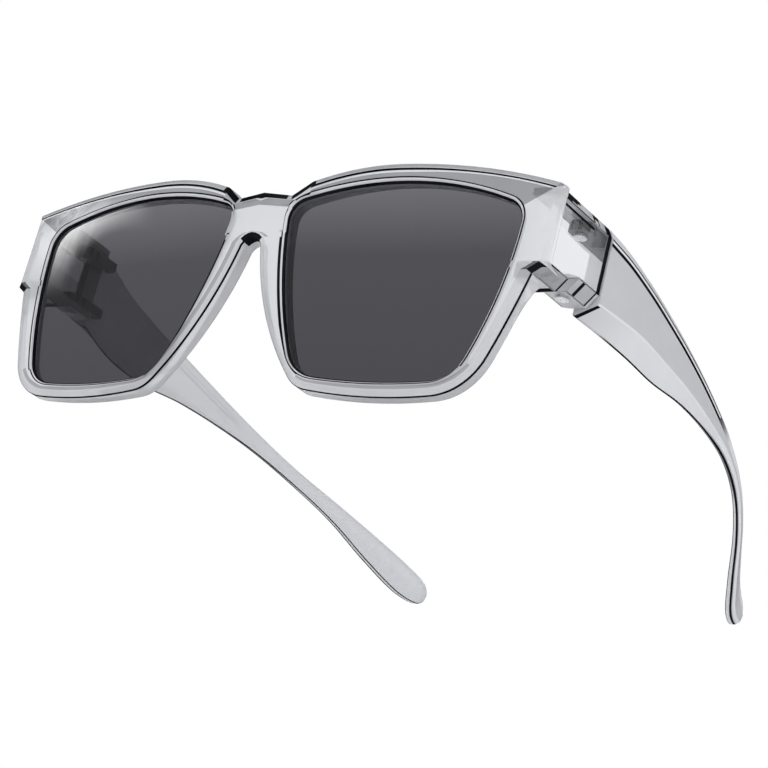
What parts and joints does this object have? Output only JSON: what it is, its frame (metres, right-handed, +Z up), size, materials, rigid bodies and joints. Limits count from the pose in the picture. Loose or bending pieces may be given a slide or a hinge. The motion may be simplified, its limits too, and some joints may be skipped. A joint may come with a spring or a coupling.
{
  "type": "fitover sunglasses",
  "caption": "Large rectangular fitover sunglasses: a clear moulded front with tinted lenses and folding temples, worn over ordinary glasses to shade them.",
  "frame": {"origin": "midway between the front's foremost point and the temple tips, and between the sides, on the surface that the rims and the temple tips rest on", "axes": "+X to the wearer's left, +Y from the front to the temple tips, +Z up"},
  "size_m": [0.1542, 0.1626, 0.0552],
  "materials": {
    "clear_plastic": "clear light grey, polished",
    "tinted_lens": "dark neutral grey tint, polished",
    "pin_steel": "bright"
  },
  "bodies": {
    "front": {"front_frame": "clear_plastic", "lens_left": "tinted_lens", "lens_right": "tinted_lens", "upper_hinge_pin_left": "pin_steel", "upper_hinge_pin_right": "pin_steel", "lower_hinge_pin_left": "pin_steel", "lower_hinge_pin_right": "pin_steel"},
    "temple_left_body": {"temple_left": "clear_plastic"},
    "temple_right_body": {"temple_right": "clear_plastic"}
  },
  "joints": [
    {"name": "temple_left_fold", "type": "hinge", "parent": "front", "child": "temple_left_body", "pos_m": [0.0704, -0.06037, 0.02781], "axis": [0, 0.036, 0.9994], "range_deg": [0, 85]},
    {"name": "temple_right_fold", "type": "hinge", "parent": "front", "child": "temple_right_body", "pos_m": [-0.0704, -0.06037, 0.02781], "axis": [0, -0.036, -0.9994], "range_deg": [0, 81]}
  ]
}
